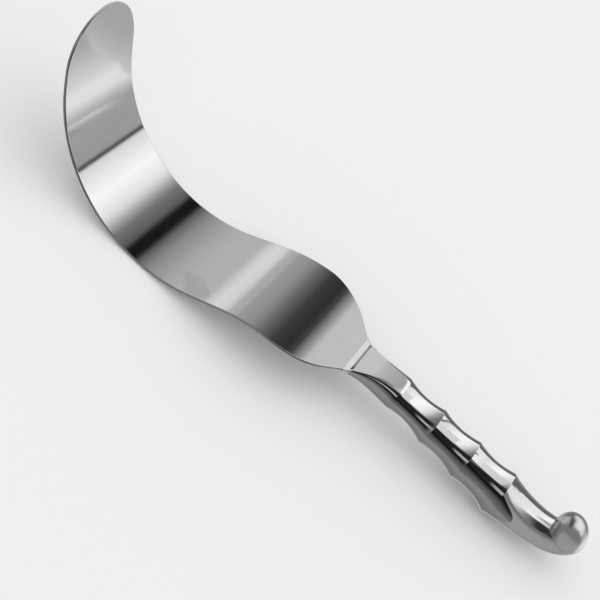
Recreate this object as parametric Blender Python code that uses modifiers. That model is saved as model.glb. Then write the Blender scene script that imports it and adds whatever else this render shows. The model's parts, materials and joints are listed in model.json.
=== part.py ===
"""Deaver retractor: a bent steel blade brazed into a hollow, scalloped handle.

Lengths are in metres. The model is laid out along the shank: X runs from the blade's tip to the
handle's end, Y across the blade, and Z up from the shank's upper face, whose end at the handle's
mouth is the point (0, 0, 0). An empty then tips the whole onto its back, so that the hook's belly
and the underside of the handle rest on Z = 0.
"""
import math

import bmesh
import bpy

# Blade strip
BLADE_THICKNESS = 0.0014
EDGE_ROUNDING = 0.0005
TIP_WIDTH = 0.0493
SHOULDER_WIDTH = 0.0630
NECK_WIDTH = 0.0216
TIP_ROUND_LENGTH = 0.0257
SHOULDER_LENGTH = 0.0356
SHOULDER_ROUND_RADIUS = 0.0346
NECK_FILLET_RADIUS = 0.0020
TANG_WIDTH = 0.0110
TANG_LENGTH = 0.0240

# Bends of the strip, from the neck to the tip
SHANK_LENGTH = 0.0255
CREST_RADIUS = 0.0718
CREST_ANGLE = math.radians(28.0)
RISE_LENGTH = 0.0176
HOOK_RADIUS = 0.0686
HOOK_ANGLE = math.radians(93.1)
TIP_CURVE_RADIUS = 0.1960
TIP_CURVE_ANGLE = math.radians(9.5)
STRIP_STEP = 0.0035

# Handle
SHELL_WALL = 0.0011
MOUTH_WIDTH = 0.0230
MOUTH_BOTTOM = -0.0028
MOUTH_ROUNDNESS = 6.0
FIRST_RIDGE = 0.0227
RIDGE_PITCH = 0.0207
RIDGE_COUNT = 4
FIRST_RIDGE_WIDTH = 0.0182
LAST_RIDGE_WIDTH = 0.0206
FIRST_RIDGE_TOP = 0.0073
LAST_RIDGE_TOP = 0.0098
FIRST_RIDGE_WAIST = 0.0011
LAST_RIDGE_WAIST = -0.0005
FIRST_RIDGE_BOTTOM = -0.0063
LAST_RIDGE_BOTTOM = -0.0120
RIDGE_ROUNDNESS = 2.6
UNDERSIDE_ROUNDNESS = 2.4
TOP_SCALLOP = 0.0014
SIDE_SCALLOP = 0.0014
BOTTOM_SCALLOP = 0.0019
NECK_FLARE = 3.3
NECK_TOP_SWELL = 0.0006
NECK_SIDE_SCALLOP = 0.0010
TAIL_TOP_DIP = 0.0023
TAIL_SIDE_SWELL = 0.0005
TAIL_UNDERSIDE_HEADING = math.radians(22.8)
TAIL_END_HEADING = math.radians(85.7)
BULB_PLACE = 0.1183
BULB_HEIGHT = 0.0107
BULB_LENGTH = 0.0160
BULB_DIAMETER = 0.0190
BULB_HEADING = math.radians(35.0)
BULB_START = 0.0036

# Braze and fits
BRAZE_LENGTH = 0.0036
BRAZE_STEP_LENGTH = 0.0010
BRAZE_LIP = 0.0001
BRAZE_RISE = 0.0003
BRAZE_ROUNDNESS = 10.0
FIT = 0.0003

# Facets
TIP_POINTS = 12
ARC_POINTS = 6
SHELL_SEGMENTS = 14
BRAZE_SEGMENTS = 40
SCALLOP_STEPS = 8
TAIL_STEPS = 12
BULB_STEPS = 12


def between(first, last, share):
    """The value a share of the way from the first to the last."""
    return first + (last - first) * share


def curve(first, first_rate, last, last_rate, share):
    """The value on a cubic that leaves the first value and reaches the last at the given rates."""
    rest = 1 - share
    return (first * rest * rest * (1 + 2 * share) + first_rate * share * rest * rest
            + last * share * share * (1 + 2 * rest) - last_rate * share * share * rest)


def clear_scene():
    """Remove whatever the scene holds, so that the script can be run again."""
    for item in list(bpy.data.objects):
        bpy.data.objects.remove(item, do_unlink=True)


def make_collection(name):
    """A new collection linked to the scene."""
    collection = bpy.data.collections.new(name)
    bpy.context.scene.collection.children.link(collection)
    return collection


def steel(name, colour, roughness):
    """A bare metal surface."""
    material = bpy.data.materials.new(name)
    material.use_nodes = True
    shader = material.node_tree.nodes["Principled BSDF"]
    shader.inputs["Base Color"].default_value = (*colour, 1.0)
    shader.inputs["Metallic"].default_value = 1.0
    shader.inputs["Roughness"].default_value = roughness
    return material


def strip_bends():
    """Length and signed curvature of each stretch of the strip, from the neck to the tip."""
    return (
        (SHANK_LENGTH, 0.0),
        (CREST_RADIUS * CREST_ANGLE, 1.0 / CREST_RADIUS),
        (RISE_LENGTH, 0.0),
        (HOOK_RADIUS * HOOK_ANGLE, -1.0 / HOOK_RADIUS),
        (TIP_CURVE_RADIUS * TIP_CURVE_ANGLE, -1.0 / TIP_CURVE_RADIUS),
    )


def strip_length():
    """Length of the blade from the handle's mouth to the tip, along its upper face."""
    return sum(length for length, _ in strip_bends())


def strip_point(distance):
    """Point (x, z) of the upper face and its upward normal, a distance from the mouth to the tip."""
    x, z, heading = 0.0, 0.0, math.pi
    left = distance
    for length, curvature in strip_bends():
        step = min(left, length)
        if curvature == 0.0 or step < 0.0:
            x += step * math.cos(heading)
            z += step * math.sin(heading)
        else:
            turned = heading + step * curvature
            x += (math.sin(turned) - math.sin(heading)) / curvature
            z -= (math.cos(turned) - math.cos(heading)) / curvature
            heading = turned
        left -= step
        if left <= 0.0:
            break
    return x, z, (math.sin(heading), -math.cos(heading))


def shoulder_angle():
    """Slope of the straight stretch between the shoulder's round and the neck's fillet."""
    drop = (SHOULDER_WIDTH - NECK_WIDTH) / 2
    radii = SHOULDER_ROUND_RADIUS + NECK_FILLET_RADIUS
    low, high = 0.0, math.radians(80)
    for _ in range(50):
        middle = (low + high) / 2
        straight = max(SHOULDER_LENGTH - radii * math.sin(middle), 0.0)
        if radii * (1 - math.cos(middle)) + straight * math.tan(middle) < drop:
            low = middle
        else:
            high = middle
    return (low + high) / 2


def blank_outline():
    """Points (distance from the mouth, half width) of one side of the flat blank, tang to tip."""
    slope = shoulder_angle()
    points = [(-TANG_LENGTH, TANG_WIDTH / 2), (FIT, TANG_WIDTH / 2), (FIT, NECK_WIDTH / 2)]
    for index in range(1, ARC_POINTS + 1):
        angle = slope * index / ARC_POINTS
        points.append((NECK_FILLET_RADIUS * math.sin(angle),
                       NECK_WIDTH / 2 + NECK_FILLET_RADIUS * (1 - math.cos(angle))))
    for index in range(ARC_POINTS + 1):
        angle = slope * (1 - index / ARC_POINTS)
        points.append((SHOULDER_LENGTH - SHOULDER_ROUND_RADIUS * math.sin(angle),
                       SHOULDER_WIDTH / 2 - SHOULDER_ROUND_RADIUS * (1 - math.cos(angle))))
    tip_start = strip_length() - TIP_ROUND_LENGTH
    for index in range(TIP_POINTS + 1):
        angle = math.pi / 2 * index / TIP_POINTS
        points.append((tip_start + TIP_ROUND_LENGTH * math.sin(angle), TIP_WIDTH / 2 * math.cos(angle)))
    return points


def flat_blank(collection):
    """The strip before bending: a flat outline, extruded, with its rims rounded."""
    side = blank_outline()
    outline = side + [(distance, -half) for distance, half in reversed(side[:-1])]
    curve = bpy.data.curves.new("blank_outline", "CURVE")
    curve.dimensions = "2D"
    curve.fill_mode = "BOTH"
    curve.extrude = BLADE_THICKNESS / 2
    spline = curve.splines.new("POLY")
    spline.points.add(len(outline) - 1)
    for point, (distance, half) in zip(spline.points, outline):
        point.co = (distance, half, 0.0, 1.0)
    spline.use_cyclic_u = True
    guide = bpy.data.objects.new("blank_guide", curve)
    collection.objects.link(guide)
    mesh = evaluated_mesh(guide)
    bpy.data.objects.remove(guide)

    shape = bmesh.new()
    shape.from_mesh(mesh)
    bmesh.ops.remove_doubles(shape, verts=shape.verts, dist=1e-6)
    bmesh.ops.dissolve_limit(shape, angle_limit=math.radians(1), verts=shape.verts,
                             edges=shape.edges, delimit={"NORMAL"})
    bmesh.ops.recalc_face_normals(shape, faces=shape.faces)
    shape.to_mesh(mesh)
    shape.free()
    blank = bpy.data.objects.new("blank", mesh)
    collection.objects.link(blank)
    rounding = blank.modifiers.new("rounded_rims", "BEVEL")
    rounding.width = EDGE_ROUNDING
    rounding.segments = 2
    rounding.limit_method = "ANGLE"
    rounding.angle_limit = math.radians(60)
    rounded = evaluated_mesh(blank)
    bpy.data.objects.remove(blank)
    return rounded


def evaluated_mesh(item):
    """A mesh of the object with its modifiers applied."""
    bpy.context.view_layer.update()
    depsgraph = bpy.context.evaluated_depsgraph_get()
    return bpy.data.meshes.new_from_object(item.evaluated_get(depsgraph), depsgraph=depsgraph)


def bend_blank(mesh):
    """Cut the flat strip across at even steps and lay it along the bends."""
    shape = bmesh.new()
    shape.from_mesh(mesh)
    length = strip_length()
    start = SHANK_LENGTH
    cuts = round((length - start) / STRIP_STEP)
    for index in range(cuts):
        place = start + (length - start) * index / cuts
        geometry = shape.verts[:] + shape.edges[:] + shape.faces[:]
        bmesh.ops.bisect_plane(shape, geom=geometry, dist=1e-7,
                               plane_co=(place, 0, 0), plane_no=(1, 0, 0))
    for vertex in shape.verts:
        depth = vertex.co.z - BLADE_THICKNESS / 2
        x, z, normal = strip_point(vertex.co.x)
        vertex.co = (x + depth * normal[0], vertex.co.y, z + depth * normal[1])
    bmesh.ops.triangulate(shape, faces=[face for face in shape.faces if len(face.verts) > 4])
    bmesh.ops.recalc_face_normals(shape, faces=shape.faces)
    shape.to_mesh(mesh)
    shape.free()


def make_blade(collection):
    """The bent strip with its round tip, shoulders, neck and tang."""
    mesh = flat_blank(collection)
    bend_blank(mesh)
    return add_piece("blade", mesh, collection, steel("blade_satin_steel", (0.62, 0.62, 0.63), 0.22))


def handle_crests():
    """The mouth and the ridges, each as a section of the handle.

    A section is its place along the handle, the heights of its top, of its widest level and of its
    bottom, its half width, and the roundness of its upper and of its lower part, which is 2 for an
    ellipse and more for a squarer shape.
    """
    crests = [(0.0, SHELL_WALL + FIT, -BLADE_THICKNESS / 2, MOUTH_BOTTOM, MOUTH_WIDTH / 2,
               MOUTH_ROUNDNESS, MOUTH_ROUNDNESS)]
    for ridge in range(RIDGE_COUNT):
        share = ridge / (RIDGE_COUNT - 1)
        crests.append((FIRST_RIDGE + ridge * RIDGE_PITCH,
                       between(FIRST_RIDGE_TOP, LAST_RIDGE_TOP, share),
                       between(FIRST_RIDGE_WAIST, LAST_RIDGE_WAIST, share),
                       between(FIRST_RIDGE_BOTTOM, LAST_RIDGE_BOTTOM, share),
                       between(FIRST_RIDGE_WIDTH, LAST_RIDGE_WIDTH, share) / 2,
                       RIDGE_ROUNDNESS, UNDERSIDE_ROUNDNESS))
    return crests


def scallop(number):
    """How far the stretch after a crest dips at its top, its bottom and its sides."""
    if number == 0:
        return -NECK_TOP_SWELL, 0.0, NECK_SIDE_SCALLOP
    return TOP_SCALLOP, BOTTOM_SCALLOP, SIDE_SCALLOP


def bulb_shape(inset):
    """Half length and half width of the bulb, its reach along the tail's end and its lean off it."""
    along, around = BULB_LENGTH / 2 - inset, BULB_DIAMETER / 2 - inset
    turn = TAIL_END_HEADING - BULB_HEADING
    reach = math.hypot(along * math.cos(turn), around * math.sin(turn))
    lean = (along ** 2 - around ** 2) * math.sin(turn) * math.cos(turn) / reach ** 2
    return along, around, reach, lean


def bulb_station(distance, inset):
    """Section of the bulb square to the tail's end, a distance from the bulb's middle."""
    along, around, reach, lean = bulb_shape(inset)
    size = math.sqrt(max(1 - (distance / reach) ** 2, 0.0))
    forward, upward = math.cos(TAIL_END_HEADING), math.sin(TAIL_END_HEADING)
    half_height = along * around / reach * size
    return (BULB_PLACE + distance * (forward + lean * upward),
            BULB_HEIGHT + distance * (upward - lean * forward),
            TAIL_END_HEADING, around * size, half_height, half_height, 2.0, 2.0)


def bulb_underside_heading():
    """Heading of the bulb's lower outline where the tail runs into it."""
    along, around, reach, lean = bulb_shape(0.0)
    size = math.sqrt(1 - (BULB_START / reach) ** 2)
    return TAIL_END_HEADING - math.atan(lean + along * around * BULB_START / (reach ** 3 * size))


def tail_station(share, inset):
    """Section of the tail, a share of the way from the last ridge to the bulb."""
    x, top, waist, bottom, width, upper, lower = handle_crests()[-1]
    end_x, end_z, heading, end_width, end_height = bulb_station(-BULB_START, 0.0)[:5]
    across, rise = end_height * math.sin(heading), end_height * math.cos(heading)
    dip = 4 * share * (1 - share)
    top_x = between(x, end_x - across, share)
    top_z = between(top, end_z + rise, share) - TAIL_TOP_DIP * dip
    span = math.hypot(end_x + across - x, end_z - rise - bottom)
    start, finish = TAIL_UNDERSIDE_HEADING, bulb_underside_heading()
    bottom_x = curve(x, span * math.cos(start), end_x + across, span * math.cos(finish), share)
    bottom_z = curve(bottom, span * math.sin(start), end_z - rise, span * math.sin(finish), share)
    level = between((top - waist) / (top - bottom), 0.5, share)
    reach = math.hypot(bottom_x - top_x, bottom_z - top_z)
    return (between(top_x, bottom_x, level), between(top_z, bottom_z, level),
            math.atan2(bottom_x - top_x, top_z - bottom_z),
            between(width, end_width, share) + TAIL_SIDE_SWELL * dip - inset,
            level * reach - inset, (1 - level) * reach - inset,
            between(upper, 2.0, share), between(lower, 2.0, share))


def handle_stations(inset):
    """Sections of the handle from the mouth to the bulb's end, drawn in by an inset.

    Each is the point (x, z) at its widest level, the heading of the axis, the half width, the
    height above that level, the depth below it, and the roundness of the upper and lower part.
    """
    stations = []
    crests = handle_crests()
    for number, (crest, following) in enumerate(zip(crests, crests[1:])):
        top_dip, bottom_dip, side_dip = scallop(number)
        for step in range(SCALLOP_STEPS):
            share = step / SCALLOP_STEPS
            dip = 4 * share * (1 - share)
            section = [between(a, b, share) for a, b in zip(crest, following)]
            x, top, waist, bottom, width, upper, lower = section
            if number == 0:
                width = between(crest[4], following[4], 1 - (1 - share) ** NECK_FLARE)
            stations.append((x, waist, 0.0, width - side_dip * dip - inset,
                             top - top_dip * dip - waist - inset,
                             waist - bottom - bottom_dip * dip - inset, upper, lower))
    stations += [tail_station(step / TAIL_STEPS, inset) for step in range(TAIL_STEPS)]
    reach = bulb_shape(inset)[2]
    start = math.asin(BULB_START / reach)
    for step in range(BULB_STEPS + 1):
        turn = between(-start, math.pi / 2, step / BULB_STEPS)
        stations.append(bulb_station(reach * math.sin(turn), inset))
    return stations


def section_point(station, angle):
    """Point of a section at an angle from its widest level, as (x, across, z)."""
    x, z, heading, width, height, depth, upper, lower = station
    power = 2 / (upper if angle > 0.0 else lower)
    across = width * math.copysign(abs(math.cos(angle)) ** power, math.cos(angle))
    rise = (height if angle > 0.0 else depth) * math.copysign(abs(math.sin(angle)) ** power, angle)
    return x - rise * math.sin(heading), across, z + rise * math.cos(heading)


def half_section(station, side):
    """Half of a section as points from its bottom to its top, on one side of the middle."""
    points = []
    for index in range(SHELL_SEGMENTS + 1):
        x, across, z = section_point(station, math.pi * (index / SHELL_SEGMENTS - 0.5))
        points.append((x, 0.0 if index in (0, SHELL_SEGMENTS) else side * across, z))
    return points


def loft(shape, rows):
    """Faces between rows of vertices that have the same number of points."""
    for row, following in zip(rows, rows[1:]):
        for index in range(len(row) - 1):
            corners = (row[index], row[index + 1], following[index + 1], following[index])
            shape.faces.new(list(dict.fromkeys(corners)))


def make_shell(name, side, collection, material):
    """One stamped half of the handle, open at the seam and at the mouth."""
    shape = bmesh.new()
    skins = []
    for inset in (0.0, SHELL_WALL):
        stations = handle_stations(inset)
        rows = [[shape.verts.new(point) for point in half_section(station, side)]
                for station in stations[:-1]]
        pole = shape.verts.new((stations[-1][0], 0.0, stations[-1][1]))
        rows.append([pole] * (SHELL_SEGMENTS + 1))
        loft(shape, rows)
        skins.append(rows)
    outer, inner = skins
    loft(shape, [[row[0] for row in outer], [row[0] for row in inner]])
    loft(shape, [[row[-1] for row in outer], [row[-1] for row in inner]])
    loft(shape, [outer[0], inner[0]])
    return add_shape(name, shape, collection, material)


def whole_section(station):
    """A whole section as points round its middle."""
    points = []
    for index in range(-BRAZE_SEGMENTS // 2, BRAZE_SEGMENTS // 2):
        points.append(section_point(station, 2 * math.pi * index / BRAZE_SEGMENTS))
    return points


def neck_half_width(distance):
    """Half width of the blade a short distance from the mouth, where it leaves the neck."""
    slope = shoulder_angle()
    fillet = NECK_FILLET_RADIUS * math.sin(slope)
    if distance < fillet:
        spread = NECK_FILLET_RADIUS - math.sqrt(NECK_FILLET_RADIUS ** 2 - distance ** 2)
    else:
        spread = NECK_FILLET_RADIUS * (1 - math.cos(slope)) + (distance - fillet) * math.tan(slope)
    return NECK_WIDTH / 2 + spread


def braze_section(distance, rise):
    """Section of the braze a distance from the mouth, at a height over the blade's faces."""
    half_depth = BLADE_THICKNESS / 2 + FIT + rise
    return (-distance, -BLADE_THICKNESS / 2, 0.0, neck_half_width(distance) + FIT + rise,
            half_depth, half_depth, BRAZE_ROUNDNESS, BRAZE_ROUNDNESS)


def make_braze(collection):
    """The filler round the neck: a thin run onto the blade and a step up to the handle."""
    shape = bmesh.new()
    sections = [braze_section(BRAZE_LENGTH, 0.0), braze_section(BRAZE_LENGTH, BRAZE_LIP),
                braze_section(BRAZE_STEP_LENGTH, BRAZE_RISE), handle_stations(0.0)[0],
                braze_section(0.0, 0.0), braze_section(BRAZE_STEP_LENGTH, 0.0)]
    loops = [[shape.verts.new(point) for point in whole_section(section)] for section in sections]
    loft(shape, [loop + loop[:1] for loop in loops + loops[:1]])
    return add_shape("neck_braze", shape, collection, steel("braze_steel", (0.55, 0.55, 0.55), 0.2))


def add_shape(name, shape, collection, material):
    """Turn a finished bmesh into one named piece."""
    bmesh.ops.recalc_face_normals(shape, faces=shape.faces)
    if shape.calc_volume(signed=True) < 0.0:
        bmesh.ops.reverse_faces(shape, faces=shape.faces)
    mesh = bpy.data.meshes.new(name)
    shape.to_mesh(mesh)
    shape.free()
    return add_piece(name, mesh, collection, material)


def add_piece(name, mesh, collection, material):
    """Put a finished mesh in the scene as one named piece."""
    mesh.materials.clear()
    mesh.materials.append(material)
    mesh.shade_smooth()
    mesh.set_sharp_from_angle(angle=math.radians(35))
    mesh.name = name
    piece = bpy.data.objects.new(name, mesh)
    collection.objects.link(piece)
    return piece


def lowest(points, tilt):
    """Lowest height of points (x, z) once they are turned by a tilt about Y."""
    return min(z * math.cos(tilt) - x * math.sin(tilt) for x, z in points)


def lay_on_back(pieces, blade, collection):
    """Tip all pieces until the hook's belly and the handle both touch the ground.

    The pieces are then carried by an empty that puts the middle of their lowest level at the origin.
    """
    reach = {piece.name: [(vertex.co.x, vertex.co.z) for vertex in piece.data.vertices]
             for piece in pieces}
    handle = [point for name, points in reach.items() if name != blade.name for point in points]
    low, high = -math.radians(45), math.radians(45)
    for _ in range(50):
        tilt = (low + high) / 2
        if lowest(reach[blade.name], tilt) < lowest(handle, tilt):
            low = tilt
        else:
            high = tilt
    everything = reach[blade.name] + handle
    along = [x * math.cos(tilt) + z * math.sin(tilt) for x, z in everything]
    carrier = bpy.data.objects.new("retractor", None)
    collection.objects.link(carrier)
    carrier.rotation_euler = (0.0, tilt, 0.0)
    carrier.location = (-(min(along) + max(along)) / 2, 0.0, -lowest(everything, tilt))
    for piece in pieces:
        piece.parent = carrier


def main():
    clear_scene()
    collection = make_collection("deaver_retractor")
    mirror_steel = steel("handle_polished_steel", (0.66, 0.66, 0.67), 0.08)
    blade = make_blade(collection)
    pieces = [blade,
              make_shell("handle_left_shell", -1, collection, mirror_steel),
              make_shell("handle_right_shell", 1, collection, mirror_steel),
              make_braze(collection)]
    lay_on_back(pieces, blade, collection)


main()
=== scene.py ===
import json
import math

import bmesh
import bpy
from mathutils import Matrix, Vector


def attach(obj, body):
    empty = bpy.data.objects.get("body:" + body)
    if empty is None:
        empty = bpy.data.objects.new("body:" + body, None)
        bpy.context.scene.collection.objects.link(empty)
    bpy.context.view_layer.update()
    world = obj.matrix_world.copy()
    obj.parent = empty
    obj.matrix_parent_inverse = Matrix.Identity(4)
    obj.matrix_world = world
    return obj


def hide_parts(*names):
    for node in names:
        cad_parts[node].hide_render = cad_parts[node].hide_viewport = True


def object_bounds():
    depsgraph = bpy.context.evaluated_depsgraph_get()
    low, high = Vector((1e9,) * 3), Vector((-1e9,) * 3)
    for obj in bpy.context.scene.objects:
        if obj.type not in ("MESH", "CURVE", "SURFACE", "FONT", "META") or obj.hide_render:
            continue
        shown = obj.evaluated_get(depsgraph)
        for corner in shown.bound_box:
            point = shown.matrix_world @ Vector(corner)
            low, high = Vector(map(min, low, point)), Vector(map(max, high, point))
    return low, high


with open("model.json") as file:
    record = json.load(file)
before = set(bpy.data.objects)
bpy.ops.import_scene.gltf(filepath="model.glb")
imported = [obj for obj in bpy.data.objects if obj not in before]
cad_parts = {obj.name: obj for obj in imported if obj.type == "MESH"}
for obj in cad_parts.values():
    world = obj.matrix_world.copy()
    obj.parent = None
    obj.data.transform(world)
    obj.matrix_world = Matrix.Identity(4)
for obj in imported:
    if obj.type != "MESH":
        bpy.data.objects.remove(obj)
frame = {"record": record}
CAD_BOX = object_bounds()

# Blade strip, in metres, as in the part
BLADE_THICKNESS = 0.0014
EDGE_ROUNDING = 0.0005
TIP_WIDTH = 0.0493
TIP_END_HALF_WIDTH = 0.00002
SHOULDER_WIDTH = 0.0630
NECK_WIDTH = 0.0216
TIP_ROUND_LENGTH = 0.0257
SHOULDER_LENGTH = 0.0356
SHOULDER_ROUND_RADIUS = 0.0346
NECK_FILLET_RADIUS = 0.0020
TANG_WIDTH = 0.0110
TANG_LENGTH = 0.0240
SHANK_LENGTH = 0.0255
CREST_RADIUS = 0.0718
CREST_ANGLE = math.radians(28.0)
RISE_LENGTH = 0.0176
HOOK_RADIUS = 0.0686
HOOK_ANGLE = math.radians(93.1)
TIP_CURVE_RADIUS = 0.1960
TIP_CURVE_ANGLE = math.radians(9.5)
SHANK_MIDDLE = 0.01455
STEEPEST_SHOULDER = math.radians(80.0)
SLOPE_SEARCH_STEPS = 50

# Handle, as in the part
SHELL_WALL = 0.0011
MOUTH_WIDTH = 0.0230
MOUTH_BOTTOM = -0.0028
MOUTH_ROUNDNESS = 6.0
FIRST_RIDGE = 0.0227
RIDGE_PITCH = 0.0207
RIDGE_COUNT = 4
FIRST_RIDGE_WIDTH = 0.0182
LAST_RIDGE_WIDTH = 0.0206
FIRST_RIDGE_TOP = 0.0073
LAST_RIDGE_TOP = 0.0098
FIRST_RIDGE_WAIST = 0.0011
LAST_RIDGE_WAIST = -0.0005
FIRST_RIDGE_BOTTOM = -0.0063
LAST_RIDGE_BOTTOM = -0.0120
RIDGE_ROUNDNESS = 2.6
UNDERSIDE_ROUNDNESS = 2.4
TOP_SCALLOP = 0.0014
SIDE_SCALLOP = 0.0014
BOTTOM_SCALLOP = 0.0019
NECK_FLARE = 3.3
NECK_TOP_SWELL = 0.0006
NECK_SIDE_SCALLOP = 0.0010
TAIL_TOP_DIP = 0.0023
TAIL_SIDE_SWELL = 0.0005
TAIL_UNDERSIDE_HEADING = math.radians(22.8)
TAIL_END_HEADING = math.radians(85.7)
BULB_PLACE = 0.1183
BULB_HEIGHT = 0.0107
BULB_LENGTH = 0.0160
BULB_DIAMETER = 0.0190
BULB_HEADING = math.radians(35.0)
BULB_START = 0.0036
BRAZE_LENGTH = 0.0036
BRAZE_STEP_LENGTH = 0.0010
BRAZE_LIP = 0.0001
BRAZE_RISE = 0.0003
BRAZE_ROUNDNESS = 10.0
FIT = 0.0003

# Depth of the finest polish marks, in metres
MARK_DEPTH = 0.00002
# Where along X the handle's polish turns softer towards the bulb
SOFT_END = (0.132, 0.142)
# Detail and roughness of the noise behind the polish marks and behind the handling haze
MARK_NOISE = (3.0, 0.55)
HAZE_NOISE = (5.0, 0.6)
# Levels of the noise between which handling haze and hairlines come out
HAZE_LEVELS = (0.48, 0.70)
HAIRLINE_LEVELS = (0.66, 0.74)
# What the shared finish takes and gives
FINISH_INPUTS = {
    "Steel Color": "Color", "Haze Color": "Color", "Roughness": "Float", "Mark Roughness": "Float",
    "Haze Roughness": "Float", "Mark Spread": "Vector", "Mark Scale": "Float",
    "Haze Scale": "Float", "Hairline Depth": "Float", "End Roughness": "Float"}
FINISH_OUTPUTS = {"Color": "Color", "Roughness": "Float", "Height": "Float"}

# Fineness of the visible surfaces; the flat of the blade starts a margin inside its rounded edge
TIP_POINTS = 40
ARC_POINTS = 14
EDGE_SEGMENTS = 4
STRIP_STEP = 0.0011
FACE_MARGIN = 0.0002
SHELL_SEGMENTS = 44
SCALLOP_STEPS = 22
TAIL_STEPS = 34
BULB_STEPS = 30
BRAZE_SEGMENTS = 120
WELD_DISTANCE = 1e-7

# Folds sharper than this many degrees stay crisp
BLADE_FOLD = 35.0
SHELL_FOLD = 22.0
BRAZE_FOLD = 25.0

# Camera of the photograph, in the part's own layout along the shank
FOCAL_PIXELS = 1190.0
IMAGE_PIXELS = 600.0
SENSOR_WIDTH = 36.0
CROSS_VANISHING_POINT = (711.0, -741.0)
CAMERA_PLACE = (-0.0377, -0.4000, 0.3452)
CAMERA_CLIP = 0.01

# Studio, in metres
FLOOR_SIZE = 12.0
FLOOR_COLOR = (0.88, 0.88, 0.88, 1.0)
FLOOR_ROUGHNESS = 0.9
FLOOR_SHEEN = 0.1
ROOM_COLOR = (0.9, 0.9, 0.9, 1.0)
ROOM_STRENGTH = 1.10
DOME_RADIUS = 0.6
DOME_MIDDLE = (-0.04, 0.0, 0.0)
DOME_SEGMENTS = 64
DOME_RINGS = 32
# Where along Y the tent turns from its near side to its far side
TENT_TURN = (-0.09, 0.11)
# The near side's roof by the handle: its start along X, its start in degrees of height, its grey
HANDLE_ROOF_START = (0.06, 0.20)
HANDLE_ROOF_HEIGHT = (30.0, 34.0)
HANDLE_ROOF_GREY = (0.02, 0.02, 0.02, 1.0)
# The near side by the blade: its start along X and its grey
BLADE_SIDE_START = (-0.04, -0.16)
BLADE_SIDE_GREY = (0.25, 0.25, 0.25, 1.0)


def between(first, last, share):
    """The value a share of the way from the first to the last."""
    return first + (last - first) * share


def bow(share):
    """A rise from 0 to 1 in the middle and back to 0."""
    return 4 * share * (1 - share)


def curve(first, first_rate, last, last_rate, share):
    """The value on a cubic that leaves the first value and reaches the last at the given rates."""
    rest = 1 - share
    return (first * rest * rest * (1 + 2 * share) + first_rate * share * rest * rest
            + last * share * share * (1 + 2 * rest) - last_rate * share * share * rest)


def strip_bends():
    """Length and signed curvature of each stretch of the strip, from the neck to the tip."""
    return (
        (SHANK_LENGTH, 0.0),
        (CREST_RADIUS * CREST_ANGLE, 1.0 / CREST_RADIUS),
        (RISE_LENGTH, 0.0),
        (HOOK_RADIUS * HOOK_ANGLE, -1.0 / HOOK_RADIUS),
        (TIP_CURVE_RADIUS * TIP_CURVE_ANGLE, -1.0 / TIP_CURVE_RADIUS),
    )


def strip_length():
    """Length of the blade from the handle's mouth to the tip, along its upper face."""
    return sum(length for length, _ in strip_bends())


def strip_point(distance):
    """Point (x, z) of the upper face and its upward normal, a distance from the mouth."""
    x, z, heading = 0.0, 0.0, math.pi
    left = distance
    for length, curvature in strip_bends():
        step = min(left, length)
        if curvature == 0.0 or step < 0.0:
            x += step * math.cos(heading)
            z += step * math.sin(heading)
        else:
            turned = heading + step * curvature
            x += (math.sin(turned) - math.sin(heading)) / curvature
            z -= (math.cos(turned) - math.cos(heading)) / curvature
            heading = turned
        left -= step
        if left <= 0.0:
            break
    return x, z, (math.sin(heading), -math.cos(heading))


def shoulder_angle():
    """Slope of the straight stretch between the shoulder's round and the neck's fillet."""
    drop = (SHOULDER_WIDTH - NECK_WIDTH) / 2
    radii = SHOULDER_ROUND_RADIUS + NECK_FILLET_RADIUS
    low, high = 0.0, STEEPEST_SHOULDER
    for _ in range(SLOPE_SEARCH_STEPS):
        middle = (low + high) / 2
        straight = max(SHOULDER_LENGTH - radii * math.sin(middle), 0.0)
        if radii * (1 - math.cos(middle)) + straight * math.tan(middle) < drop:
            low = middle
        else:
            high = middle
    return (low + high) / 2


def neck_half_width(distance):
    """Half width of the blade a short distance from the mouth, where it leaves the neck."""
    slope = shoulder_angle()
    fillet = NECK_FILLET_RADIUS * math.sin(slope)
    if distance < fillet:
        spread = NECK_FILLET_RADIUS - math.sqrt(NECK_FILLET_RADIUS ** 2 - distance ** 2)
    else:
        spread = NECK_FILLET_RADIUS * (1 - math.cos(slope)) + (distance - fillet) * math.tan(slope)
    return NECK_WIDTH / 2 + spread


def blade_half_width(distance):
    """Half width of the blade a distance from the mouth."""
    length = strip_length()
    tip_start = length - TIP_ROUND_LENGTH
    round_start = SHOULDER_LENGTH - SHOULDER_ROUND_RADIUS * math.sin(shoulder_angle())
    if distance < round_start:
        return neck_half_width(distance)
    if distance < SHOULDER_LENGTH:
        back = SHOULDER_LENGTH - distance
        return SHOULDER_WIDTH / 2 - SHOULDER_ROUND_RADIUS + math.sqrt(
            SHOULDER_ROUND_RADIUS ** 2 - back ** 2)
    if distance < tip_start:
        share = (distance - SHOULDER_LENGTH) / (tip_start - SHOULDER_LENGTH)
        return between(SHOULDER_WIDTH, TIP_WIDTH, share) / 2
    share = min((distance - tip_start) / TIP_ROUND_LENGTH, 1.0)
    return TIP_WIDTH / 2 * math.sqrt(max(1 - share * share, 0.0))


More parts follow.
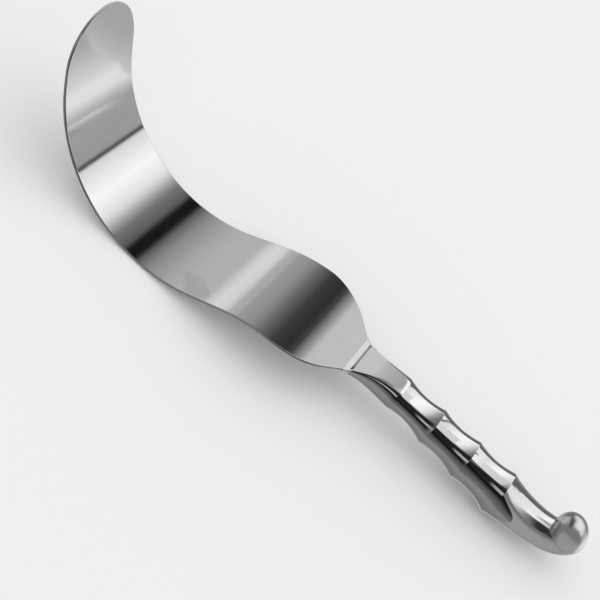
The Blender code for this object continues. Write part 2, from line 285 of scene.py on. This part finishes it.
def blade_places():
    """Distances from the mouth at which the visible blade is cut across."""
    length = strip_length()
    tip_start = length - TIP_ROUND_LENGTH
    round_start = SHOULDER_LENGTH - SHOULDER_ROUND_RADIUS * math.sin(shoulder_angle())
    places = [FIT] + [NECK_FILLET_RADIUS * math.sin(shoulder_angle() * (index + 1) / ARC_POINTS)
                      for index in range(ARC_POINTS)]
    for start, finish in ((places[-1], round_start), (round_start, SHOULDER_LENGTH),
                          (SHOULDER_LENGTH, tip_start)):
        steps = max(1, round((finish - start) / STRIP_STEP))
        places += [between(start, finish, (index + 1) / steps) for index in range(steps)]
    for index in range(TIP_POINTS):
        turn = math.pi / 2 * (index + 1) / TIP_POINTS
        places.append(tip_start + TIP_ROUND_LENGTH * math.sin(turn))
    return places


def carrier_matrix():
    """How the layout along the shank lies in the frame: the tilt and the mouth's place."""
    mounts = {mount["name"]: mount for mount in frame["record"]["mounts"]}
    top = mounts["shank_upper_face"]
    tilt = math.atan2(top["axis"][0], top["axis"][2])
    turn = Matrix.Rotation(tilt, 4, "Y")
    middle = turn @ Vector((-SHANK_MIDDLE, 0.0, 0.0))
    return Matrix.Translation(Vector(top["pos_m"]) - middle) @ turn


CARRIER = carrier_matrix()


def add_piece(name, shape, node, material, fold):
    """Turn a finished bmesh into a piece that stands for a node of the part."""
    bmesh.ops.recalc_face_normals(shape, faces=shape.faces)
    if shape.calc_volume(signed=True) < 0.0:
        bmesh.ops.reverse_faces(shape, faces=shape.faces)
    mesh = bpy.data.meshes.new(name)
    shape.to_mesh(mesh)
    shape.free()
    mesh.transform(CARRIER)
    for vertex in mesh.vertices:
        vertex.co = [min(max(value, low), high) for value, low, high in zip(vertex.co, *CAD_BOX)]
    mesh.materials.append(material)
    mesh.shade_smooth()
    mesh.set_sharp_from_angle(angle=math.radians(fold))
    piece = bpy.data.objects.new(name, mesh)
    bpy.context.scene.collection.objects.link(piece)
    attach(piece, "root")
    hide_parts(node)
    return piece


def loft(shape, rows):
    """Faces between rows of vertices that have the same number of points."""
    for row, following in zip(rows, rows[1:]):
        for index in range(len(row) - 1):
            corners = (row[index], row[index + 1], following[index + 1], following[index])
            corners = list(dict.fromkeys(corners))
            if len(corners) > 2:
                shape.faces.new(corners)


def blade_ring(distance, half_width):
    """Points of one cut across the blade, all the way round."""
    x, z, normal = strip_point(distance)
    flat = BLADE_THICKNESS / 2 - EDGE_ROUNDING
    reach = min(EDGE_ROUNDING, half_width)
    side = []
    for index in range(-EDGE_SEGMENTS, EDGE_SEGMENTS + 1):
        if index == 0:
            side += [(0.0, flat), (0.0, -flat)]
            continue
        angle = math.pi / 2 * abs(index) / EDGE_SEGMENTS
        depth = flat + EDGE_ROUNDING * math.sin(angle)
        side.append((reach * (1 - math.cos(angle)), depth if index < 0 else -depth))
    face_start = min(reach + FACE_MARGIN, half_width)
    side = [(face_start, BLADE_THICKNESS / 2)] + side + [(face_start, -BLADE_THICKNESS / 2)]
    across = [(half_width - inset, depth) for inset, depth in side]
    whole = across + [(-width, depth) for width, depth in reversed(across)]
    points = []
    for width, depth in whole:
        lift = depth - BLADE_THICKNESS / 2
        points.append((x + lift * normal[0], width, z + lift * normal[1]))
    return points


def make_blade(material):
    """The bent strip with its round tip, shoulders and neck; its tang stays inside the handle."""
    shape = bmesh.new()
    tang = [(-TANG_LENGTH, TANG_WIDTH / 2), (FIT, TANG_WIDTH / 2)]
    cuts = [(place, blade_half_width(place)) for place in blade_places()]
    cuts[-1] = (strip_length(), TIP_END_HALF_WIDTH)
    rows = [[shape.verts.new(point) for point in blade_ring(place, width)]
            for place, width in tang + cuts]
    loft(shape, [row + row[:1] for row in rows])
    shape.faces.new(rows[0])
    shape.faces.new(rows[-1])
    bmesh.ops.remove_doubles(shape, verts=shape.verts, dist=WELD_DISTANCE)
    return add_piece("blade_skin", shape, "blade", material, BLADE_FOLD)


def handle_crests():
    """The mouth and the ridges, each as a section of the handle."""
    crests = [(0.0, SHELL_WALL + FIT, -BLADE_THICKNESS / 2, MOUTH_BOTTOM, MOUTH_WIDTH / 2,
               MOUTH_ROUNDNESS, MOUTH_ROUNDNESS)]
    for ridge in range(RIDGE_COUNT):
        share = ridge / (RIDGE_COUNT - 1)
        crests.append((FIRST_RIDGE + ridge * RIDGE_PITCH,
                       between(FIRST_RIDGE_TOP, LAST_RIDGE_TOP, share),
                       between(FIRST_RIDGE_WAIST, LAST_RIDGE_WAIST, share),
                       between(FIRST_RIDGE_BOTTOM, LAST_RIDGE_BOTTOM, share),
                       between(FIRST_RIDGE_WIDTH, LAST_RIDGE_WIDTH, share) / 2,
                       RIDGE_ROUNDNESS, UNDERSIDE_ROUNDNESS))
    return crests


def scallop(number):
    """How far the stretch after a crest dips at its top, its bottom and its sides."""
    if number == 0:
        return -NECK_TOP_SWELL, 0.0, NECK_SIDE_SCALLOP
    return TOP_SCALLOP, BOTTOM_SCALLOP, SIDE_SCALLOP


def bulb_shape(inset):
    """Half length and width of the bulb, its reach along the tail's end and its lean off it."""
    along, around = BULB_LENGTH / 2 - inset, BULB_DIAMETER / 2 - inset
    turn = TAIL_END_HEADING - BULB_HEADING
    reach = math.hypot(along * math.cos(turn), around * math.sin(turn))
    lean = (along ** 2 - around ** 2) * math.sin(turn) * math.cos(turn) / reach ** 2
    return along, around, reach, lean


def bulb_station(distance, inset):
    """Section of the bulb square to the tail's end, a distance from the bulb's middle."""
    along, around, reach, lean = bulb_shape(inset)
    size = math.sqrt(max(1 - (distance / reach) ** 2, 0.0))
    forward, upward = math.cos(TAIL_END_HEADING), math.sin(TAIL_END_HEADING)
    half_height = along * around / reach * size
    return (BULB_PLACE + distance * (forward + lean * upward),
            BULB_HEIGHT + distance * (upward - lean * forward),
            TAIL_END_HEADING, around * size, half_height, half_height, 2.0, 2.0)


def bulb_underside_heading():
    """Heading of the bulb's lower outline where the tail runs into it."""
    along, around, reach, lean = bulb_shape(0.0)
    size = math.sqrt(1 - (BULB_START / reach) ** 2)
    return TAIL_END_HEADING - math.atan(lean + along * around * BULB_START / (reach ** 3 * size))


def tail_station(share, inset):
    """Section of the tail, a share of the way from the last ridge to the bulb."""
    x, top, waist, bottom, width, upper, lower = handle_crests()[-1]
    end_x, end_z, heading, end_width, end_height = bulb_station(-BULB_START, 0.0)[:5]
    across, rise = end_height * math.sin(heading), end_height * math.cos(heading)
    dip = bow(share)
    top_x = between(x, end_x - across, share)
    top_z = between(top, end_z + rise, share) - TAIL_TOP_DIP * dip
    span = math.hypot(end_x + across - x, end_z - rise - bottom)
    start, finish = TAIL_UNDERSIDE_HEADING, bulb_underside_heading()
    bottom_x = curve(x, span * math.cos(start), end_x + across, span * math.cos(finish), share)
    bottom_z = curve(bottom, span * math.sin(start), end_z - rise, span * math.sin(finish), share)
    level = between((top - waist) / (top - bottom), 0.5, share)
    reach = math.hypot(bottom_x - top_x, bottom_z - top_z)
    return (between(top_x, bottom_x, level), between(top_z, bottom_z, level),
            math.atan2(bottom_x - top_x, top_z - bottom_z),
            between(width, end_width, share) + TAIL_SIDE_SWELL * dip - inset,
            level * reach - inset, (1 - level) * reach - inset,
            between(upper, 2.0, share), between(lower, 2.0, share))


def handle_stations(inset):
    """Sections of the handle from the mouth to the bulb's end, drawn in by an inset."""
    stations = []
    crests = handle_crests()
    for number, (crest, following) in enumerate(zip(crests, crests[1:])):
        top_dip, bottom_dip, side_dip = scallop(number)
        for step in range(SCALLOP_STEPS):
            share = step / SCALLOP_STEPS
            dip = bow(share)
            section = [between(a, b, share) for a, b in zip(crest, following)]
            x, top, waist, bottom, width, upper, lower = section
            if number == 0:
                width = between(crest[4], following[4], 1 - (1 - share) ** NECK_FLARE)
            stations.append((x, waist, 0.0, width - side_dip * dip - inset,
                             top - top_dip * dip - waist - inset,
                             waist - bottom - bottom_dip * dip - inset, upper, lower))
    stations += [tail_station(step / TAIL_STEPS, inset) for step in range(TAIL_STEPS)]
    reach = bulb_shape(inset)[2]
    start = math.asin(BULB_START / reach)
    for step in range(BULB_STEPS + 1):
        turn = between(-start, math.pi / 2, step / BULB_STEPS)
        stations.append(bulb_station(reach * math.sin(turn), inset))
    return stations


def section_point(station, angle):
    """Point of a section at an angle from its widest level, as (x, across, z)."""
    x, z, heading, width, height, depth, upper, lower = station
    power = 2 / (upper if angle > 0.0 else lower)
    across = width * math.copysign(abs(math.cos(angle)) ** power, math.cos(angle))
    rise = (height if angle > 0.0 else depth) * math.copysign(abs(math.sin(angle)) ** power, angle)
    return x - rise * math.sin(heading), across, z + rise * math.cos(heading)


def half_section(station, side):
    """Half of a section as points from its bottom to its top, on one side of the middle."""
    points = []
    for index in range(SHELL_SEGMENTS + 1):
        x, across, z = section_point(station, math.pi * (index / SHELL_SEGMENTS - 0.5))
        points.append((x, 0.0 if index in (0, SHELL_SEGMENTS) else side * across, z))
    return points


def make_shell(name, side, node, material):
    """One half of the handle, open at the seam and at the mouth."""
    shape = bmesh.new()
    skins = []
    for inset in (0.0, SHELL_WALL):
        stations = handle_stations(inset)
        rows = [[shape.verts.new(point) for point in half_section(station, side)]
                for station in stations[:-1]]
        pole = shape.verts.new((stations[-1][0], 0.0, stations[-1][1]))
        rows.append([pole] * (SHELL_SEGMENTS + 1))
        loft(shape, rows)
        skins.append(rows)
    outer, inner = skins
    loft(shape, [[row[0] for row in outer], [row[0] for row in inner]])
    loft(shape, [[row[-1] for row in outer], [row[-1] for row in inner]])
    loft(shape, [outer[0], inner[0]])
    return add_piece(name, shape, node, material, SHELL_FOLD)


def whole_section(station):
    """A whole section as points round its middle."""
    return [section_point(station, 2 * math.pi * index / BRAZE_SEGMENTS)
            for index in range(-BRAZE_SEGMENTS // 2, BRAZE_SEGMENTS // 2)]


def braze_section(distance, rise):
    """Section of the braze a distance from the mouth, at a height over the blade's faces."""
    half_depth = BLADE_THICKNESS / 2 + FIT + rise
    return (-distance, -BLADE_THICKNESS / 2, 0.0, neck_half_width(distance) + FIT + rise,
            half_depth, half_depth, BRAZE_ROUNDNESS, BRAZE_ROUNDNESS)


def make_braze(material):
    """The filler round the neck: a thin run onto the blade and a step up to the handle."""
    shape = bmesh.new()
    sections = [braze_section(BRAZE_LENGTH, 0.0), braze_section(BRAZE_LENGTH, BRAZE_LIP),
                braze_section(BRAZE_STEP_LENGTH, BRAZE_RISE), handle_stations(0.0)[0],
                braze_section(0.0, 0.0), braze_section(BRAZE_STEP_LENGTH, 0.0)]
    loops = [[shape.verts.new(point) for point in whole_section(section)] for section in sections]
    loft(shape, [loop + loop[:1] for loop in loops + loops[:1]])
    return add_piece("neck_braze_skin", shape, "neck_braze", material, BRAZE_FOLD)


def math_node(tree, operation, first, second=None):
    """A maths node over sockets or numbers."""
    node = tree.nodes.new("ShaderNodeMath")
    node.operation = operation
    for socket, value in zip(node.inputs, (first, second)):
        if value is None:
            continue
        if isinstance(value, (int, float)):
            socket.default_value = value
        else:
            tree.links.new(value, socket)
    return node.outputs[0]


def degrees(tree, upward, along):
    """Angle in degrees of a direction, from its upward and its level part."""
    return math_node(tree, "MULTIPLY", math_node(tree, "ARCTAN2", upward, along), 180 / math.pi)


def switch(tree, value, low, high, soft=True):
    """A switch from 0 to 1, soft or straight, as the value goes from low to high."""
    node = tree.nodes.new("ShaderNodeMapRange")
    node.interpolation_type = "SMOOTHSTEP" if soft else "LINEAR"
    falling = low > high
    node.inputs["From Min"].default_value = min(low, high)
    node.inputs["From Max"].default_value = max(low, high)
    node.inputs["To Min"].default_value = 1.0 if falling else 0.0
    node.inputs["To Max"].default_value = 0.0 if falling else 1.0
    tree.links.new(value, node.inputs["Value"])
    return node.outputs[0]


def blend(tree, factor, first, second):
    """One colour or the other."""
    node = tree.nodes.new("ShaderNodeMix")
    node.data_type = "RGBA"
    tree.links.new(factor, node.inputs["Factor"])
    for socket, value in ((node.inputs[6], first), (node.inputs[7], second)):
        if isinstance(value, tuple):
            socket.default_value = value
        else:
            tree.links.new(value, socket)
    return node.outputs[2]


def ramp(tree, value, stops):
    """A ramp of greys over a value, with stops of (value, strength)."""
    first, last = stops[0][0], stops[-1][0]
    node = tree.nodes.new("ShaderNodeValToRGB")
    tree.links.new(switch(tree, value, first, last, soft=False), node.inputs["Fac"])
    elements = node.color_ramp.elements
    while len(elements) < len(stops):
        elements.new(0.5)
    for element, (place, strength) in zip(elements, stops):
        element.position = (place - first) / (last - first)
        element.color = (strength, strength, strength, 1.0)
    return node.outputs["Color"]


def noise(tree, place, scale, detail, roughness, spread=None):
    """Noise over a place, which can first be stretched by a spread on each axis."""
    pattern = tree.nodes.new("ShaderNodeTexNoise")
    pattern.inputs["Detail"].default_value = detail
    pattern.inputs["Roughness"].default_value = roughness
    if spread:
        mapping = tree.nodes.new("ShaderNodeMapping")
        tree.links.new(place, mapping.inputs["Vector"])
        tree.links.new(spread, mapping.inputs["Scale"])
        place = mapping.outputs["Vector"]
    tree.links.new(place, pattern.inputs["Vector"])
    tree.links.new(scale, pattern.inputs["Scale"])
    return pattern.outputs["Fac"]


def make_finish():
    """The finish of every steel piece: polish marks, handling haze and sparse hairlines."""
    group = bpy.data.node_groups.new("polished_steel_finish", "ShaderNodeTree")
    for way, sockets in (("INPUT", FINISH_INPUTS), ("OUTPUT", FINISH_OUTPUTS)):
        for name, kind in sockets.items():
            group.interface.new_socket(name, in_out=way, socket_type="NodeSocket" + kind)
    given = group.nodes.new("NodeGroupInput").outputs
    place = group.nodes.new("ShaderNodeTexCoord").outputs["Object"]
    marks = noise(group, place, given["Mark Scale"], *MARK_NOISE, given["Mark Spread"])
    hairlines = switch(group, marks, *HAIRLINE_LEVELS, soft=False)
    haze = switch(group, noise(group, place, given["Haze Scale"], *HAZE_NOISE), *HAZE_LEVELS)
    along = group.nodes.new("ShaderNodeSeparateXYZ")
    group.links.new(place, along.inputs[0])
    end = switch(group, along.outputs[0], *SOFT_END)
    from_marks = math_node(group, "MULTIPLY", math_node(group, "SUBTRACT", marks, 0.5),
                           given["Mark Roughness"])
    from_haze = math_node(group, "MULTIPLY", haze, given["Haze Roughness"])
    from_end = math_node(group, "MULTIPLY", end, given["End Roughness"])
    rough = math_node(group, "ADD", math_node(group, "ADD", given["Roughness"], from_marks),
                      math_node(group, "ADD", from_haze, from_end))
    scratches = math_node(group, "MULTIPLY", hairlines, given["Hairline Depth"])
    out = group.nodes.new("NodeGroupOutput").inputs
    group.links.new(blend(group, haze, given["Steel Color"], given["Haze Color"]), out["Color"])
    group.links.new(rough, out["Roughness"])
    group.links.new(math_node(group, "SUBTRACT", marks, scratches), out["Height"])
    return group


def steel(name, finish, relief, **settings):
    """A bare steel surface with the shared finish, set for one piece."""
    material = bpy.data.materials.new(name)
    material.use_nodes = True
    tree = material.node_tree
    shader = tree.nodes["Principled BSDF"]
    shader.inputs["Metallic"].default_value = 1.0
    surface = tree.nodes.new("ShaderNodeGroup")
    surface.node_tree = finish
    for label, value in settings.items():
        surface.inputs[label.replace("_", " ").title()].default_value = value
    bump = tree.nodes.new("ShaderNodeBump")
    bump.inputs["Strength"].default_value = relief
    bump.inputs["Distance"].default_value = MARK_DEPTH
    tree.links.new(surface.outputs["Height"], bump.inputs["Height"])
    tree.links.new(bump.outputs["Normal"], shader.inputs["Normal"])
    tree.links.new(surface.outputs["Color"], shader.inputs["Base Color"])
    tree.links.new(surface.outputs["Roughness"], shader.inputs["Roughness"])
    return material


def make_floor():
    """The plain pale floor."""
    bpy.ops.mesh.primitive_plane_add(size=FLOOR_SIZE)
    floor = bpy.context.object
    floor.name = "floor"
    material = bpy.data.materials.new("pale_floor")
    material.use_nodes = True
    shader = material.node_tree.nodes["Principled BSDF"]
    shader.inputs["Base Color"].default_value = FLOOR_COLOR
    shader.inputs["Roughness"].default_value = FLOOR_ROUGHNESS
    shader.inputs["Specular IOR Level"].default_value = FLOOR_SHEEN
    floor.data.materials.append(material)
    floor.visible_glossy = False


# Strength of the tent's far side, by its angle in degrees from +X over the top to -X
FAR_PANELS = (
    (-60, 0.52), (-32, 0.54), (-22, 0.95), (-15, 1.10), (-5, 1.08), (4, 0.70), (10, 0.50),
    (39, 0.47), (40.2, 0.07), (42.2, 0.07), (43.4, 1.00), (64, 1.42), (76, 1.15), (80, 0.90),
    (84, 0.55), (89, 0.26), (98, 0.15), (100.5, 0.01), (107.5, 0.01), (111, 0.18), (118, 0.38),
    (132, 0.58), (141, 0.64), (148, 0.64), (180, 0.60))
# Strength of the tent's near side, by height in degrees over the floor
NEAR_PANELS = (
    (-90, 0.22), (-60, 0.26), (-35, 0.34), (-31, 0.20), (-14, 0.15), (0, 0.08), (14, 0.01),
    (30, 0.01), (41, 0.55), (52, 0.60), (58, 0.02), (90, 0.02))

# Level cards of light that shine down: height, corners in X and Y, and strength by place along X,
# all in metres
LEVEL_CARDS = (
    ("shank_card", 0.042,
     ((-0.050, -0.020), (-0.050, 0.085), (0.046, 0.085), (0.046, 0.004), (0.034, 0.004),
      (0.024, -0.020)),
     ((-0.050, 0.48), (-0.037, 0.42), (-0.030, 0.32), (-0.024, 0.20), (-0.013, 0.065),
      (-0.002, 0.035), (0.003, 0.075), (0.007, 0.40), (0.0105, 0.76), (0.026, 0.78), (0.030, 0.66),
      (0.036, 0.58), (0.046, 0.48))),
    ("rise_card", 0.035,
     ((-0.080, -0.010), (-0.080, 0.080), (-0.053, 0.080), (-0.053, -0.010)),
     ((-0.080, 0.68), (-0.075, 0.88), (-0.070, 0.99), (-0.063, 0.94), (-0.058, 0.82),
      (-0.053, 0.62))),
    ("tail_card", 0.14,
     ((0.17, 0.0), (0.17, 0.26), (0.36, 0.26), (0.36, 0.0)),
     ((0.17, 1.15), (0.36, 1.05))),
    ("bulb_light", 0.12,
     ((0.095, -0.010), (0.095, 0.088), (0.185, 0.088), (0.185, -0.010)),
     ((0.095, 0.90), (0.110, 0.92), (0.140, 0.95), (0.160, 1.20), (0.185, 1.30))),
    ("bulb_shade", 0.07,
     ((0.130, 0.039), (0.130, 0.051), (0.146, 0.051), (0.146, 0.039)),
     ((0.130, 0.05), (0.135, 0.30), (0.140, 0.55), (0.146, 0.90))),
    ("tail_shade", 0.045,
     ((0.1270, -0.012), (0.1270, 0.014), (0.1400, 0.011), (0.1400, -0.012)),
     ((0.1270, 0.02), (0.1360, 0.03), (0.1380, 0.30), (0.1400, 1.00))),
)
# Upright cards across Y: reach in X, reach in Z, place in Y, whether they shine away from the
# camera, and strength by height
UPRIGHT_CARDS = (
    ("tip_card", (-0.140, -0.102), (0.034, 0.052), 0.05, False,
     ((0.034, 0.80), (0.037, 0.68), (0.043, 0.57), (0.048, 0.54), (0.052, 0.54))),
    ("rim_card", (0.03, 0.26), (-0.01, 0.065), 0.10, False,
     ((-0.01, 0.30), (0.02, 0.28), (0.035, 0.16), (0.065, 0.16))),
    ("bulb_card", (0.124, 0.30), (-0.03, 0.09), -0.02, True,
     ((-0.03, 0.42), (0.018, 0.44), (0.029, 0.38), (0.035, 0.24), (0.09, 0.22))),
)


def glowing(name, item, one_sided=False):
    """Give an item of the studio a light of its own that only polished surfaces see."""
    item.name = name
    item.visible_camera = False
    item.visible_diffuse = False
    item.visible_transmission = False
    item.visible_shadow = False
    material = bpy.data.materials.new(name + "_cloth")
    material.use_nodes = True
    tree = material.node_tree
    tree.nodes.clear()
    place = tree.nodes.new("ShaderNodeTexCoord")
    axes = tree.nodes.new("ShaderNodeSeparateXYZ")
    tree.links.new(place.outputs["Object"], axes.inputs[0])
    glow = tree.nodes.new("ShaderNodeEmission")
    out = tree.nodes.new("ShaderNodeOutputMaterial")
    shown = glow.outputs[0]
    if one_sided:
        geometry = tree.nodes.new("ShaderNodeNewGeometry")
        clear = tree.nodes.new("ShaderNodeBsdfTransparent")
        sides = tree.nodes.new("ShaderNodeMixShader")
        tree.links.new(geometry.outputs["Backfacing"], sides.inputs[0])
        tree.links.new(shown, sides.inputs[1])
        tree.links.new(clear.outputs[0], sides.inputs[2])
        shown = sides.outputs[0]
    tree.links.new(shown, out.inputs["Surface"])
    item.data.materials.append(material)
    return tree, axes.outputs, glow.inputs["Color"]


def make_light_tent():
    """A dome of soft light over the part, graded so that the steel has something to mirror."""
    bpy.ops.mesh.primitive_uv_sphere_add(segments=DOME_SEGMENTS, ring_count=DOME_RINGS,
                                         radius=DOME_RADIUS, location=DOME_MIDDLE)
    tree, (x, y, z), colour = glowing("light_tent", bpy.context.object)
    flat = math_node(tree, "SQRT", math_node(tree, "ADD", math_node(tree, "MULTIPLY", x, x),
                                             math_node(tree, "MULTIPLY", y, y)))
    height = degrees(tree, z, flat)
    far = ramp(tree, degrees(tree, z, x), FAR_PANELS)
    near = ramp(tree, height, NEAR_PANELS)
    roof = math_node(tree, "MULTIPLY", switch(tree, x, *HANDLE_ROOF_START),
                     switch(tree, height, *HANDLE_ROOF_HEIGHT))
    near = blend(tree, roof, near, HANDLE_ROOF_GREY)
    near = blend(tree, switch(tree, x, *BLADE_SIDE_START), near, BLADE_SIDE_GREY)
    tree.links.new(blend(tree, switch(tree, y, *TENT_TURN), near, far), colour)


def make_card(name, corners, axis, strengths):
    """A flat card of light by the part, seen only in its polish and only from its front."""
    mesh = bpy.data.meshes.new(name)
    mesh.from_pydata(corners, [], [tuple(range(len(corners)))])
    card = bpy.data.objects.new(name, mesh)
    bpy.context.scene.collection.objects.link(card)
    tree, places, colour = glowing(name, card, one_sided=True)
    tree.links.new(ramp(tree, places[axis], strengths), colour)


def make_cards():
    """The cards of light round the part."""
    for name, height, outline, strengths in LEVEL_CARDS:
        make_card(name, [(x, y, height) for x, y in outline], 0, strengths)
    for name, (left, right), (low, high), place, away, strengths in UPRIGHT_CARDS:
        corners = ((left, place, low), (right, place, low),
                   (right, place, high), (left, place, high))
        make_card(name, corners[::-1] if away else corners, 2, strengths)


def make_room():
    """A pale surround for what lies beyond the floor."""
    world = bpy.data.worlds.new("pale_room")
    bpy.context.scene.world = world
    world.use_nodes = True
    background = world.node_tree.nodes["Background"]
    background.inputs["Color"].default_value = ROOM_COLOR
    background.inputs["Strength"].default_value = ROOM_STRENGTH


def make_camera():
    """The photograph's viewpoint."""
    forward = Vector((*CROSS_VANISHING_POINT, FOCAL_PIXELS)).normalized()
    along = forward.cross(Vector((0.0, 0.0, 1.0))).normalized()
    upward = forward.cross(along)
    axes = Matrix((-along, forward, upward))
    turn = Matrix((axes.col[0], -axes.col[1], -axes.col[2])).transposed().to_4x4()
    camera = bpy.data.cameras.new("photo_camera")
    camera.sensor_width = SENSOR_WIDTH
    camera.lens = SENSOR_WIDTH * FOCAL_PIXELS / IMAGE_PIXELS
    camera.clip_start = CAMERA_CLIP
    item = bpy.data.objects.new("photo_camera", camera)
    bpy.context.scene.collection.objects.link(item)
    item.matrix_world = CARRIER @ Matrix.Translation(CAMERA_PLACE) @ turn
    bpy.context.scene.camera = item


finish = make_finish()
blade_steel = steel("blade_satin_steel", finish, 0.10, steel_color=(0.66, 0.66, 0.665, 1.0),
                    haze_color=(0.635, 0.64, 0.645, 1.0), roughness=0.075, mark_roughness=0.05,
                    haze_roughness=0.02, mark_spread=(1.0, 60.0, 1.0), mark_scale=30.0,
                    haze_scale=28.0, hairline_depth=0.5)
handle_steel = steel("handle_mirror_steel", finish, 0.05, steel_color=(0.68, 0.68, 0.685, 1.0),
                     haze_color=(0.64, 0.64, 0.645, 1.0), roughness=0.065, mark_roughness=0.03,
                     haze_roughness=0.04, mark_spread=(1.0, 30.0, 30.0), mark_scale=25.0,
                     haze_scale=60.0, hairline_depth=0.4, end_roughness=0.20)
braze_steel = steel("braze_polished_steel", finish, 0.20, steel_color=(0.88, 0.88, 0.885, 1.0),
                    haze_color=(0.82, 0.82, 0.82, 1.0), roughness=0.12, mark_roughness=0.05,
                    haze_roughness=0.08, mark_spread=(12.0, 1.0, 12.0), mark_scale=60.0,
                    haze_scale=240.0, hairline_depth=0.2)
make_blade(blade_steel)
make_shell("handle_left_skin", -1, "handle_left_shell", handle_steel)
make_shell("handle_right_skin", 1, "handle_right_shell", handle_steel)
make_braze(braze_steel)
make_floor()
make_light_tent()
make_cards()
make_room()
make_camera()
bpy.context.scene.view_settings.view_transform = "Standard"
